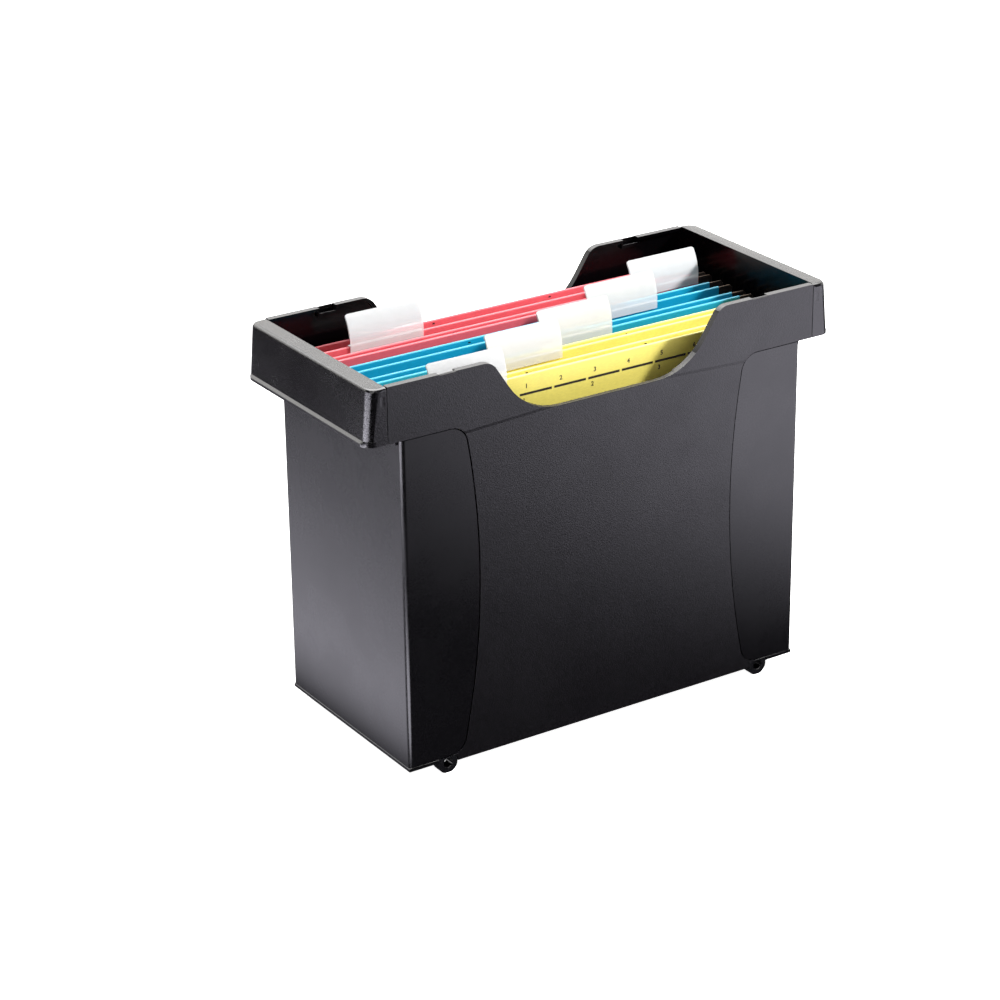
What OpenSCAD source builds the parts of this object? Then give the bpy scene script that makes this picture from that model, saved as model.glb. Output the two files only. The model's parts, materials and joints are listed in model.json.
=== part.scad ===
// Portable box for hanging files, with six suspension files in it.
// Millimetres. X runs along the box, the front faces -Y, and Z is up from the feet.

/* [Body] */
// Length of the body over its end walls
body_l = 334; // [300:1:420]
// Depth of the box over its front and back panels
body_d = 163; // [150:1:240]
// Height of the rim above the underside of the base
rim_h = 288.5; // [270:0.5:360]
// Wall of the front and back panels
panel_t = 2.5; // [2:0.1:4]
// Wall of the end panels
end_t = 2.2; // [1.6:0.1:3]
// How far the end panels' side faces lie behind the face of the front panel
face_step = 0.8; // [0.3:0.1:1.5]
// Thickness of the base plate
base_t = 3; // [2:0.1:4]
// Height of the wall that stands up inside the base
base_wall_h = 12; // [6:1:25]
// Wall thickness inside the base
base_wall_t = 2; // [1.4:0.1:3]
// How far the front panel hangs below the underside of the base
panel_drop = 1.6; // [0:0.1:2.5]

/* [Front and back panels] */
// How far the waist is drawn in from the panel's bottom corner
waist_in = 21.2; // [10:0.1:30]
// Radius of the waisted sides
waist_r = 585; // [400:1:1200]
// Height of the waist above the underside of the base
waist_z = 138; // [110:1:170]
// Fillet between the waisted side and the wing or the foot of the panel
waist_fillet = 14; // [6:1:20]
// Distance from the panel's bottom corner to the end wall
foot_inset = 39.5; // [30:0.5:60]
// Height of the wings from the rim down
wing_h = 40.3; // [34:0.1:60]
// How far the wings reach past the end wall, to their joint with the end caps
wing_over = 10; // [6:0.5:10.5]
// Width of the turned-in rim along the top of the panel
rim_w = 5; // [3:0.5:8]
// Height of that rim
rim_t = 2.4; // [1.6:0.1:4]
// How far the panel's tongue reaches behind the end panels
tongue_w = 5; // [3:0.5:8]
// Thickness of the tongue
tongue_t = 1.4; // [1:0.1:2]
// How far the collar, which carries the wings, stands proud of the panel below it
collar_step = 0.4; // [0.2:0.1:0.6]
// Distance from the wings' lower edge down to the collar's lower edge, at the waist
collar_drop = 4.4; // [2:0.1:8]
// Height of the collar's lower edge above the bottom of the grip opening, where the two meet
collar_rise = 2.2; // [1:0.1:5]

/* [Grip opening] */
// Depth of the grip opening below the rim
grip_depth = 43.3; // [30:0.1:55]
// Distance from the straight edge at the bottom of the grip opening to the wing's end
grip_inset = 137; // [120:1:150]
// Radius of the lower corners
grip_r_low = 50; // [30:1:60]
// Radius where the grip opening meets the rim
grip_r_top = 12; // [8:1:18]
// Slope of the grip opening's sides
grip_slope = 57; // [45:1:70]

/* [Stacking catches] */
// Distance of each catch from the wing's end
catch_inset = 47; // [30:0.5:60]
// Width of a catch
catch_w = 13.2; // [10:0.1:16]
// Depth of a catch below the rim
catch_h = 4; // [3:0.1:6]
// Wall of the lip round a catch
catch_lip = 1.2; // [0.8:0.1:2]
// Wall in front of a catch
catch_wall = 1.4; // [1:0.1:1.8]

/* [Feet] */
// Gap between a foot and the side of the front panel
foot_gap = 0.2; // [0.1:0.1:4]
// Width of a foot
foot_w = 15.6; // [12:0.1:20]
// Length of a foot from front to back
foot_l = 8; // [6:0.5:12]
// Diameter of the eye through a foot
foot_eye_d = 7.2; // [5:0.1:9]
// Height of a foot below the base
foot_drop = 9; // [7:0.1:12]
// Depth of the flat that a foot stands on
foot_flat = 0.4; // [0.2:0.1:1]

/* [End caps] */
// Distance from the body's end wall to the cap's inner wall
cap_gutter = 11; // [9:0.5:16]
// Width of the cap's top face
cap_top_w = 12.4; // [11:0.1:24]
// How far the skirt flares out from its top to its bottom edge
cap_flare = 3.2; // [0:0.1:6]
// Height of the bead along the bottom edge of the skirt
bead_h = 4; // [2:0.1:6]
// How far the bead stands out
bead_out = 1; // [0.4:0.1:2]
// Wall of the end cap
cap_t = 2.2; // [1.6:0.1:3]
// Radius of the cap's upright corners
cap_corner_r = 5; // [3:0.5:8]
// Radius round the cap's top edge
cap_edge_r = 2.6; // [1:0.1:4]
// Height of the gutter floor above the skirt's bottom edge
gutter_z = 1; // [0:0.1:4]
// Distance of the dimple beside the joint from the wing's end
dimple_inset = 3.6; // [3:0.1:6]
// Depth of that dimple
dimple_depth = 0.5; // [0.2:0.1:0.8]
// Radius that the dimple is hollowed to
dimple_r = 5; // [3:0.5:8]
// Height of the dimple
dimple_h = 7; // [4:0.5:12]
// Distance of the dimple below the rim
dimple_drop = 6; // [4:0.5:12]

/* [Suspension files] */
// Room kept free before the front file and behind the rear one
file_room = 8.5; // [6:0.5:20]
// Gap between a sheet's end and the end wall
sheet_gap = 4.8; // [3:0.1:20]
// Thickness of the sheet
sheet_t = 0.5; // [0.4:0.05:0.8]
// Height of the fold above the underside of the base
fold_z = 22; // [16:1:60]
// Inner radius of the bottom fold
fold_r = 1.1; // [0.8:0.1:2]
// Height of the hem that holds the bar
hem_h = 14; // [12:0.5:20]
// Width of a slot for a tab
slot_w = 3; // [2:0.1:4]
// Height of such a slot
slot_h = 1.6; // [1:0.1:3]
// Distance of the slots from the sheet's top edge
slot_drop = 2; // [1.5:0.1:4]
// Pitch of the slots for tabs
slot_pitch = 50; // [40:1:60]
// How far a bar reaches past the middle of the rail
bar_nose = 7.1; // [5:0.1:9]
// Air between the bars' hooks and the gutter's floor
bar_clear = 3; // [1:0.1:6]
// Height of a bar
bar_h = 10; // [8:0.5:14]
// Thickness of a bar
bar_t = 1; // [0.8:0.1:1.5]
// Width of the notch that hooks over the rail
hook_w = 5; // [4:0.1:6]
// Depth of that notch
hook_h = 4.5; // [3:0.1:6]
// Air between the notch and the rail
hook_clear = 0.5; // [0.4:0.1:0.8]

/* [Tabs] */
// Length of a tab
tab_l = 60; // [40:1:60]
// Height of a tab's curved face
tab_h = 23; // [16:0.5:25]
// Radius that the tab curves back on
tab_r = 34; // [28:1:60]
// Wall of the clear tab
tab_t = 0.5; // [0.4:0.05:0.8]
// Radius of the tab's upper corners
tab_corner = 2; // [0.5:0.1:2.4]
// Height of the clip below the sheet's top edge
tab_clip = 4.5; // [3:0.1:6]
// Thickness of the label in the tab
label_t = 0.3; // [0.2:0.05:0.4]
// Height of the tab's clear foot below the label
label_lift = 6.5; // [3:0.5:10]

/* [Hidden] */
FILES = ["red_rear", "red_front", "blue_rear", "blue_front", "yellow_rear", "yellow_front"];

// What each file is like, from the back of the box to the front
file_color = ["#d8404f", "#d8404f", "#0a86b8", "#0a86b8", "#efd94a", "#efd94a"];
file_push = [1.2, 2.3, 1.6, -1.2, 1.5, 1.1];
file_shift = [0, 1, 0, 0, 0, 0];
file_gap = [13, 6.9, 11.5, 9.2, 7.2, 8];
tab_place = [-97, 129, 73.5, 16, -40, -102];

fit = 0.1;
face = body_d / 2;
back_of_panel = face - panel_t;
side_face = face - face_step;
end_out = body_l / 2;
end_in = end_out - end_t;
wing_half = end_out + wing_over;
foot_half = end_out - foot_inset;
waist_half = foot_half - waist_in;
grip_flat_half = wing_half - grip_inset;
catch_x = wing_half - catch_inset;
base_z = foot_drop;
base_top = base_z + base_t;
rim_z = base_z + rim_h;
wing_z = rim_z - wing_h;
panel_z = base_z - panel_drop;
cap_in = end_out + cap_gutter;
cap_out = cap_in + cap_top_w;
cap_foot = cap_out + cap_flare;
gutter_floor = wing_z + gutter_z;
bar_z = gutter_floor + cap_t + bar_clear;
rail_z = bar_z + hook_h - hook_clear;
file_pitch = (2 * back_of_panel - 2 * file_room) / len(FILES);
sheet_l = 2 * (end_in - sheet_gap);
sheet_h = bar_z + bar_h + fit + sheet_t - base_z - fold_z;
hem_y = fold_r + sheet_t;
hem_t = 2 * sheet_t + bar_t + 2 * fit;
hem_mid = hem_y - hem_t / 2;
tab_limit = sheet_l / 2 - tab_l / 2;
foot_r = foot_w / 2;
foot_x = foot_half + foot_gap + foot_r;
eye_z = base_z + foot_r - foot_drop - foot_flat;
tab_y = -hem_y - fit - tab_t;
tab_z = sheet_h + fit + tab_t;
hook_x = end_out - end_t / 2;
bar_half = hook_x + bar_nose;
black = "#26262a";
satin = "#3a3a3f";
textured = "#2e2e33";
$fn = 96;

// Points on an arc in a plane, from angle a to angle b
function arc(x, z, r, a, b, n = 8) =
  [for (i = [0:n]) [x + r * cos(a + (b - a) * i / n), z + r * sin(a + (b - a) * i / n)]];

// Mirrors an outline's right half to close it
function both_sides(half) =
  concat(half, [for (i = [len(half) - 1:-1:0]) [-half[i][0], half[i][1]]]);

// Right half of the grip opening, grown by d, from its bottom edge to above the rim
function grip_half(d) =
  concat(arc(grip_flat_half, rim_z - grip_depth + grip_r_low, grip_r_low + d, -90, grip_slope - 90),
         arc(grip_top_x(), rim_z - grip_r_top, grip_r_top - d, 90 + grip_slope, 90),
         [[grip_top_x(), rim_z + 1]]);

// Centre of the arc where the grip opening meets the rim
function grip_top_x() =
  let (x0 = grip_flat_half + grip_r_low * sin(grip_slope),
       z0 = rim_z - grip_depth + grip_r_low * (1 - cos(grip_slope)),
       z1 = rim_z - grip_r_top * (1 - cos(grip_slope)))
  x0 + (z1 - z0) / tan(grip_slope) + grip_r_top * sin(grip_slope);

// Angle at which the fillet meets a level line that lies s above the waist
function fillet_angle(s) = asin((s - waist_fillet) / (waist_r - waist_fillet));

// Waisted side from its foot to the wing, grown outwards by d
function waist_side(d, low, high) =
  let (cx = waist_half + waist_r, cz = base_z + waist_z,
       a1 = fillet_angle(cz - low), a2 = fillet_angle(high - cz), r = waist_r - waist_fillet)
  concat(arc(cx - r * cos(a1), cz - r * sin(a1), waist_fillet - d, 270, 180 + a1, 6),
         arc(cx, cz, waist_r - d, 180 + a1, 180 - a2, 12),
         arc(cx - r * cos(a2), cz + r * sin(a2), waist_fillet - d, 180 - a2, 90, 6));

// Outline of the front panel: a waisted middle below a pair of wings
module panel_outline() {
  half = concat([[foot_half, panel_z], [foot_half, base_top]],
                waist_side(0, base_top, wing_z),
                [[wing_half, wing_z], [wing_half, rim_z]]);
  polygon(both_sides(half));
}

module tongue_outline() {
  half = concat([[foot_half, base_top]],
                waist_side(tongue_w, base_top, wing_z - fit),
                [[waist_half, wing_z - fit]]);
  polygon(both_sides(half));
}

module grip_outline(d) {
  polygon(both_sides(grip_half(d)));
}

// Extrudes an outline drawn in X and Z from y = -to back to y = -from
module front_slab(from, to) {
  translate([0, -from, 0]) rotate([90, 0, 0]) linear_extrude(to - from) children();
}

// Below the collar the face of the panel lies a step further back
module collar_cut() {
  low = wing_z - collar_drop;
  front_slab(face - collar_step, face + 1) polygon(both_sides([
    [foot_half + 1, panel_z - 1], [foot_half + 1, low], [foot_half - waist_fillet / 2, low],
    [grip_flat_half, rim_z - grip_depth + collar_rise]]));
}

// A catch is a pocket sunk in the rim, with its lip lower on the inside than its outer wall
module catch_cut(x) {
  translate([x - catch_w / 2, -face + catch_wall, rim_z - catch_h - catch_lip])
    cube([catch_w, rim_w - catch_wall - catch_lip, 2 * catch_h]);
  translate([x - catch_w / 2, -face + catch_wall, rim_z - catch_h]) cube([catch_w, rim_w, 2 * catch_h]);
  translate([x - catch_w / 2, -face, rim_z - catch_wall / 2]) rotate([45, 0, 0])
    translate([0, -catch_wall, 0]) cube([catch_w, 3 * catch_wall, 2 * catch_wall]);
}

// The block under the rim that a catch is sunk in
module catch_block(x) {
  translate([x - catch_w / 2 - catch_lip, -back_of_panel - fit, rim_z - catch_h - 2 * catch_lip])
    cube([catch_w + 2 * catch_lip, rim_w - panel_t + fit, catch_h + 2 * catch_lip]);
}

module panel_body() {
  difference() {
    union() {
      front_slab(back_of_panel, face) panel_outline();
      front_slab(back_of_panel - tongue_t, back_of_panel) tongue_outline();
      // The turned-in rim along the wings and round the grip opening
      front_slab(face - rim_w, back_of_panel) difference() {
        translate([-wing_half, wing_z]) square([2 * wing_half, wing_h]);
        difference() {
          translate([-wing_half - 1, wing_z - 1]) square([2 * wing_half + 2, wing_h - rim_t + 1]);
          grip_outline(rim_t);
        }
      }
      for (side = [-1, 1]) catch_block(side * catch_x);
    }
    front_slab(face - rim_w - 1, face + 1) grip_outline(0);
    collar_cut();
    for (side = [-1, 1]) catch_cut(side * catch_x);
  }
}

module front_panel() {
  color(textured) panel_body();
}

module back_panel() {
  color(textured) rotate([0, 0, 180]) panel_body();
}

// One end wall with its two side returns, which the panels' waists leave in view
module end_panel_body() {
  corner_r = end_t + 1;
  difference() {
    translate([0, 0, base_top]) linear_extrude(wing_z - base_top) difference() {
      union() {
        translate([0, -side_face + corner_r]) square([end_out, 2 * (side_face - corner_r)]);
        translate([0, -side_face]) square([end_out - corner_r, 2 * side_face]);
        for (side = [-1, 1])
          translate([end_out - corner_r, side * (side_face - corner_r)]) circle(r = corner_r);
      }
      translate([-1, -back_of_panel]) square([end_in + 1, 2 * back_of_panel]);
    }
    front_slab(back_of_panel - 1, face + 1) panel_outline();
    rotate([0, 0, 180]) front_slab(back_of_panel - 1, face + 1) panel_outline();
  }
  // The wall goes on up between the wings as the rail that the files hang on
  translate([end_in, -back_of_panel, wing_z - fit])
    cube([end_t, 2 * back_of_panel, rail_z - wing_z + fit]);
}

module right_end_panel() {
  color(satin) end_panel_body();
}

module left_end_panel() {
  color(satin) rotate([0, 0, 180]) end_panel_body();
}

module base_tray() {
  upstand_x = end_in - fit;
  upstand_y = back_of_panel - tongue_t - fit;
  color(black) difference() {
    union() {
      translate([-end_out, -side_face, base_z]) cube([body_l, 2 * side_face, base_t]);
      translate([-upstand_x, -upstand_y, base_top - fit])
        cube([2 * upstand_x, 2 * upstand_y, base_wall_h + fit]);
    }
    translate([-upstand_x + base_wall_t, -upstand_y + base_wall_t, base_top])
      cube([2 * (upstand_x - base_wall_t), 2 * (upstand_y - base_wall_t), base_wall_h + 1]);
    for (side = [-1, 1]) {
      // The front and back panels hang down over the edge of the plate
      translate([-foot_half, side * (back_of_panel + panel_t) - panel_t, base_z - 1])
        cube([2 * foot_half, 2 * panel_t, base_t + 2]);
      // Each foot is let into the plate
      for (end = [-1, 1])
        translate([end * foot_x - foot_r, side * side_face - foot_l, base_z - 1])
          cube([foot_w, 2 * foot_l, base_t + 1]);
    }
  }
}

// A foot is a loop with an eye from front to back, let into the edge of the base
module foot(x, side) {
  y0 = side > 0 ? side_face - foot_l : -side_face;
  color(black) difference() {
    union() {
      translate([x, y0, eye_z]) rotate([-90, 0, 0]) cylinder(r = foot_r, h = foot_l);
      translate([x - foot_r, y0, eye_z]) cube([foot_w, foot_l, base_top - eye_z]);
    }
    translate([x, y0 - 1, eye_z]) rotate([-90, 0, 0]) cylinder(d = foot_eye_d, h = foot_l + 2);
    translate([x - foot_r, y0 - 1, base_top]) cube([foot_w, foot_l + 2, foot_w]);
    translate([x - foot_r, y0 - 1, base_z - foot_drop - foot_w]) cube([foot_w, foot_l + 2, foot_w]);
  }
}

// Slice of the cap's outer form at height z, reaching to x
module cap_slice(x, z, r, inset = 0) {
  t = 0.01;
  for (side = [-1, 1])
    translate([x - r, side * (face - inset - r), z]) cylinder(r = r, h = t, $fn = 32);
  translate([wing_half, -face + inset, z]) cube([1, 2 * (face - inset), t]);
}

module cap_solid() {
  r = cap_corner_r;
  e = cap_edge_r;
  hull() {
    cap_slice(cap_foot, wing_z, r);
    cap_slice(cap_out, rim_z - e, r);
    cap_slice(cap_out - 0.3 * e, rim_z - 0.3 * e, r, 0.3 * e);
    cap_slice(cap_out - e, rim_z - 0.01, r, e);
  }
  hull() {
    cap_slice(cap_foot + bead_out, wing_z, r + bead_out);
    cap_slice(cap_foot + bead_out, wing_z + bead_h / 2, r + bead_out);
    cap_slice(cap_foot - cap_flare * bead_h / wing_h, wing_z + bead_h, r);
  }
}

// The hollow under the cap, between its skirt and its inner wall
module cap_hollow() {
  r = cap_corner_r - cap_t;
  t = 0.01;
  hull() for (end = [[cap_foot, wing_z - 1], [cap_out, rim_z - cap_t - t]]) {
    for (side = [-1, 1])
      translate([end[0] - cap_t - r, side * (face - cap_t - r), end[1]]) cylinder(r = r, h = t, $fn = 32);
    translate([wing_half - 1, -face + cap_t, end[1]]) cube([1, 2 * (face - cap_t), t]);
  }
}

module end_cap_body() {
  difference() {
    cap_solid();
    difference() {
      cap_hollow();
      // The inner wall stays in
      translate([cap_in, -face, gutter_floor]) cube([cap_t, body_d, rim_h]);
    }
    // Opening between the flange and the gutter, where the files' hooks pass
    translate([wing_half - 1, -back_of_panel, gutter_floor + cap_t])
      cube([cap_in - wing_half + 1, 2 * back_of_panel, rim_h]);
    // A shallow dimple beside each joint with the panels
    for (side = [-1, 1])
      translate([wing_half + dimple_inset, side * (face + dimple_r - dimple_depth), rim_z - dimple_drop - dimple_h])
        cylinder(r = dimple_r, h = dimple_h);
  }
  // The gutter's floor, out from the end wall
  translate([end_out, -back_of_panel, gutter_floor]) cube([cap_in - end_out + fit, 2 * back_of_panel, cap_t]);
  // A lip that hugs the end wall below the floor
  translate([end_out, -back_of_panel + panel_t, wing_z - 2 * cap_t])
    cube([cap_t, 2 * (back_of_panel - panel_t), 3 * cap_t]);
}

module right_end_cap() {
  color(textured) end_cap_body();
}

module left_end_cap() {
  color(textured) rotate([0, 0, 180]) end_cap_body();
}

// Middle of a file along the rails, and how far its leaves lean apart
function file_y(i) = (2.5 - i) * file_pitch + file_push[i];
function lean(i) = asin((file_gap[i] / 2 - hem_mid) / sheet_h);

// Places a leaf of file i: side is 1 for the back leaf and -1 for the front leaf.
// The leaf is drawn upright, as a back leaf, with the fold's axis at the origin.
module leaf(i, side) {
  translate([file_shift[i], file_y(i), base_z + fold_z]) rotate([-side * lean(i), 0, 0]) children();
}

// Section of a leaf in Y and Z: the sheet goes up, over the bar and down inside
module leaf_section(side, foot) {
  y = hem_y;
  polygon([for (p = [[y - sheet_t, foot], [y, foot], [y, sheet_h], [y - hem_t, sheet_h],
      [y - hem_t, sheet_h - hem_h], [y - hem_t + sheet_t, sheet_h - hem_h],
      [y - hem_t + sheet_t, sheet_h - sheet_t], [y - sheet_t, sheet_h - sheet_t]])
    [side * p[0], p[1]]]);
}

module along_x(length) {
  translate([-length / 2, 0, 0]) rotate([90, 0, 90]) linear_extrude(length) children();
}

module slots(side) {
  for (n = [-2:2]) if (n != 0)
    translate([n * slot_pitch - slot_w / 2, side * hem_y - sheet_t * 2, sheet_h - slot_drop - slot_h])
      cube([slot_w, sheet_t * 4, slot_h]);
}

module back_sheet(i) {
  color(file_color[i]) leaf(i, 1) {
    difference() {
      union() {
        along_x(sheet_l) leaf_section(1, 0);
        // The bottom fold, half of a tube
        difference() {
          along_x(sheet_l) circle(r = hem_y, $fn = 32);
          along_x(sheet_l + 2) circle(r = fold_r, $fn = 32);
          translate([-sheet_l, -2 * hem_y, 0]) cube([2 * sheet_l, 4 * hem_y, 2 * hem_y]);
        }
      }
      slots(1);
    }
  }
}

module front_sheet(i) {
  color(file_color[i]) leaf(i, -1) {
    difference() {
      along_x(sheet_l) leaf_section(-1, 3 * fit);
      slots(-1);
    }
  }
}

// A steel bar with a hook at each end that drops over the rail
module bar(i, side) {
  top = sheet_h - sheet_t - fit;
  y = hem_y - sheet_t - fit - bar_t;
  color("#3c3630") leaf(i, side) difference() {
    translate([-bar_half, side > 0 ? y : -y - bar_t, top - bar_h]) cube([2 * bar_half, bar_t, bar_h]);
    for (end = [-1, 1]) {
      translate([end * hook_x - file_shift[i] - hook_w / 2, -10, top - bar_h - 1])
        cube([hook_w, 20, hook_h + 1]);
      translate([end * bar_half, 0, top]) rotate([0, 45, 0]) cube([3, 20, 3], center = true);
    }
  }
}

function tab_x(i) = max(-tab_limit, min(tab_limit, tab_place[i]));

// Points along the tab's curve in Y and Z, from height a to b, at depth d behind its front
function tab_arc(d, a, b, n = 10) =
  [for (k = [0:n]) let (s = (a + (b - a) * k / n) * 180 / (PI * tab_r))
    [tab_y + tab_r - (tab_r - d) * cos(s), tab_z + (tab_r - d) * sin(s)]];

// Section of a tab in Y and Z, with the slot for its label
module tab_section(low) {
  back = tab_y + hem_t + 2 * fit + 2 * tab_t;
  difference() {
    polygon(concat([[tab_y, low]],
      tab_arc(0, 0, tab_h),
      tab_arc(label_t + fit + 2 * tab_t, tab_h, label_lift - tab_t),
      tab_arc(tab_t, label_lift - tab_t, 0, 4),
      [[back, tab_z], [back, low], [back - tab_t, low], [back - tab_t, tab_z - tab_t],
       [tab_y + tab_t, tab_z - tab_t], [tab_y + tab_t, low]]));
    polygon(concat(tab_arc(tab_t, label_lift, tab_h - tab_t),
      tab_arc(tab_t + label_t + fit, tab_h - tab_t, label_lift)));
  }
}

// The clear tab clips over the hem and curves back, with its upper corners rounded off
module tab(i) {
  low = sheet_h - tab_clip;
  top = tab_z + tab_r * sin(tab_h * 180 / (PI * tab_r));
  half = tab_l / 2;
  color([0.95, 0.95, 0.95, 0.6]) leaf(i, -1) translate([tab_x(i), 0, 0]) intersection() {
    along_x(tab_l) tab_section(low);
    translate([0, tab_r, 0]) rotate([90, 0, 0]) linear_extrude(2 * tab_r) polygon(both_sides(
      concat([[half, low - 1]], arc(half - tab_corner, top - tab_corner, tab_corner, 0, 90))));
  }
}

module label(i) {
  color("#f6f6f2") leaf(i, -1) translate([tab_x(i), 0, 0]) along_x(tab_l - 2)
    polygon(concat(tab_arc(tab_t + fit / 2, label_lift + fit, tab_h - tab_t - fit),
      tab_arc(tab_t + fit / 2 + label_t, tab_h - tab_t - fit, label_lift + fit)));
}

front_panel();
back_panel();
left_end_panel();
right_end_panel();
base_tray();
left_end_cap();
right_end_cap();
foot(-foot_x, -1);  // front_left_foot
foot(foot_x, -1);  // front_right_foot
foot(-foot_x, 1);  // back_left_foot
foot(foot_x, 1);  // back_right_foot
for (i = [0:len(FILES) - 1]) {
  back_sheet(i);
  front_sheet(i);
  bar(i, 1);
  bar(i, -1);
  tab(i);
  label(i);
}
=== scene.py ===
# Portable file box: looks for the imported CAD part. Metres, box centred on X and Y, feet on Z = 0.
import json
import math

import bmesh
import bpy
from mathutils import Matrix, Vector


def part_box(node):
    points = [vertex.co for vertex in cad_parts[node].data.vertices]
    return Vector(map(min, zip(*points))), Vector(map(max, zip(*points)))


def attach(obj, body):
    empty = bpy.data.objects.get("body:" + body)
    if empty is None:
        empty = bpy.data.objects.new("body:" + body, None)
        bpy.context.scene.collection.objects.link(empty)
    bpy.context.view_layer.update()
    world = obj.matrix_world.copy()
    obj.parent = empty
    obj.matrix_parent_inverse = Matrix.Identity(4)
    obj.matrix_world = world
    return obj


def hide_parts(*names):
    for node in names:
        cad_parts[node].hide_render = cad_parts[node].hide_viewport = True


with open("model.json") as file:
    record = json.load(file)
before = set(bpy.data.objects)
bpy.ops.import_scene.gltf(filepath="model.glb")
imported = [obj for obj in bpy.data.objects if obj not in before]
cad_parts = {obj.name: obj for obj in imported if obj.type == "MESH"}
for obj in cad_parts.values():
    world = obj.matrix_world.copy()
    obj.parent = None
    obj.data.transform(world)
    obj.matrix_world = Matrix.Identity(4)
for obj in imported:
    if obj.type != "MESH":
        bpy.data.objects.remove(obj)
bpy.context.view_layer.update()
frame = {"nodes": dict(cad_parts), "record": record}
scene = bpy.context.scene
mm = 0.001
close = 0.01 * mm  # two places this near count as one
weld = 1e-6  # points this near are joined
noiseSpan = (0.3, 0.7)  # a noise stays mostly between these


# Node helpers
def newMaterial(name):
    material = bpy.data.materials.new(name)
    material.use_nodes = True
    return material, material.node_tree, material.node_tree.nodes["Principled BSDF"]


def addNode(tree, kind, inputs=None, **settings):
    node = tree.nodes.new(kind)
    for key, value in settings.items():
        setattr(node, key, value)
    for key, value in (inputs or {}).items():
        if isinstance(value, bpy.types.NodeSocket):
            tree.links.new(value, node.inputs[key])
        else:
            node.inputs[key].default_value = value
    return node


def objectCoords(tree, scale=(1, 1, 1)):
    coords = addNode(tree, "ShaderNodeTexCoord").outputs["Object"]
    return addNode(tree, "ShaderNodeMapping", {"Vector": coords, "Scale": scale}).outputs["Vector"]


def noise(tree, vector, scale, detail=2.0, roughness=0.5):
    return addNode(tree, "ShaderNodeTexNoise", {"Vector": vector, "Scale": scale, "Detail": detail,
                                                "Roughness": roughness}).outputs["Fac"]


def ramp(tree, factor, stops):
    node = addNode(tree, "ShaderNodeValToRGB", {"Fac": factor})
    while len(node.color_ramp.elements) < len(stops):
        node.color_ramp.elements.new(0.5)
    for element, (place, color) in zip(node.color_ramp.elements, stops):
        element.position = place
        element.color = (*color, 1)
    return node.outputs["Color"]


def remap(tree, value, low, high, outLow, outHigh, smooth=False):
    node = addNode(tree, "ShaderNodeMapRange", {"Value": value, "From Min": low, "From Max": high,
                                                "To Min": outLow, "To Max": outHigh})
    if smooth:
        node.interpolation_type = "SMOOTHSTEP"
    return node.outputs["Result"]


def maths(tree, operation, a, b=0.0):
    return addNode(tree, "ShaderNodeMath", {0: a, 1: b}, operation=operation).outputs[0]


def bump(tree, height, distance, normal=None):
    inputs = {"Height": height, "Distance": distance}
    if normal is not None:
        inputs["Normal"] = normal
    return addNode(tree, "ShaderNodeBump", inputs).outputs["Normal"]


def shaded(tone, factor):
    return tuple(min(1.0, factor * c) for c in tone)


# Moulded plastic: grained where the mould is grained, polished inside and darker there as painted shade,
# satin on the end panels
plastic = {
    "textured": {"color": (0.0024, 0.0021, 0.003), "roughness": (0.34, 0.42), "ior": 1.5,
                 "grain": 1100, "depth": 0.00016, "swell": 0.00005, "speckle": (0.1, 2.6)},
    # inside the box the plastic is smooth; its darker tone and weak reflection are painted shade
    "polished": {"color": (0.0012, 0.001, 0.0014), "roughness": (0.16, 0.26), "ior": 1.27,
                 "grain": 2600, "depth": 0.000006, "swell": 0.00004},
    "satin": {"color": (0.0018, 0.0016, 0.0024), "roughness": (0.24, 0.32), "ior": 1.5,
              "grain": 2600, "depth": 0.000012, "swell": 0.00005},
    "cap": {"color": (0.0022, 0.0019, 0.0028), "roughness": (0.2, 0.27), "ior": 1.5,
            "grain": 1100, "depth": 0.00012, "swell": 0.00004, "speckle": (0.1, 2.6)},
    "base": {"color": (0.0012, 0.0011, 0.0016), "roughness": (0.2, 0.3), "ior": 1.6,
             "grain": 2600, "depth": 0.000012, "swell": 0.00003},
    "gloss": {"color": (0.004, 0.004, 0.005), "roughness": (0.1, 0.17), "ior": 1.6,
              "grain": 900, "depth": 0.000008, "swell": 0.00002},
}
mould = {"cloud": 22, "waves": 14, "grainStops": (0.36, 0.64), "grainRoughness": (-0.02, 0.03),
         "evenSpeckle": (0.8, 1.2)}


def plasticMaterial(name, settings):
    material, tree, shader = newMaterial(name)
    coords = objectCoords(tree)
    grain = noise(tree, coords, settings["grain"], detail=2.0, roughness=0.6)
    cloud = noise(tree, coords, mould["cloud"], detail=3.0, roughness=0.55)
    speckle = [shaded(settings["color"], share) for share in settings.get("speckle", mould["evenSpeckle"])]
    tone = ramp(tree, grain, list(zip(mould["grainStops"], speckle)))
    clouded = remap(tree, cloud, *noiseSpan, *settings["roughness"])
    rough = maths(tree, "ADD", clouded, remap(tree, grain, *noiseSpan, *mould["grainRoughness"]))
    tree.links.new(tone, shader.inputs["Base Color"])
    tree.links.new(rough, shader.inputs["Roughness"])
    # the walls of a large moulding are never quite flat
    swell = bump(tree, noise(tree, coords, mould["waves"], detail=1.0), settings["swell"])
    tree.links.new(bump(tree, grain, settings["depth"], swell), shader.inputs["Normal"])
    shader.inputs["IOR"].default_value = settings["ior"]
    return material


texturedShell = plasticMaterial("textured_shell", plastic["textured"])
polishedShadedInside = plasticMaterial("polished_inside_painted_shade", plastic["polished"])
satinShell = plasticMaterial("satin_shell", plastic["satin"])
capPlastic = plasticMaterial("cap_plastic", plastic["cap"])
basePlastic = plasticMaterial("base_plastic", plastic["base"])
footPlastic = plasticMaterial("foot_plastic", plastic["gloss"])

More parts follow.
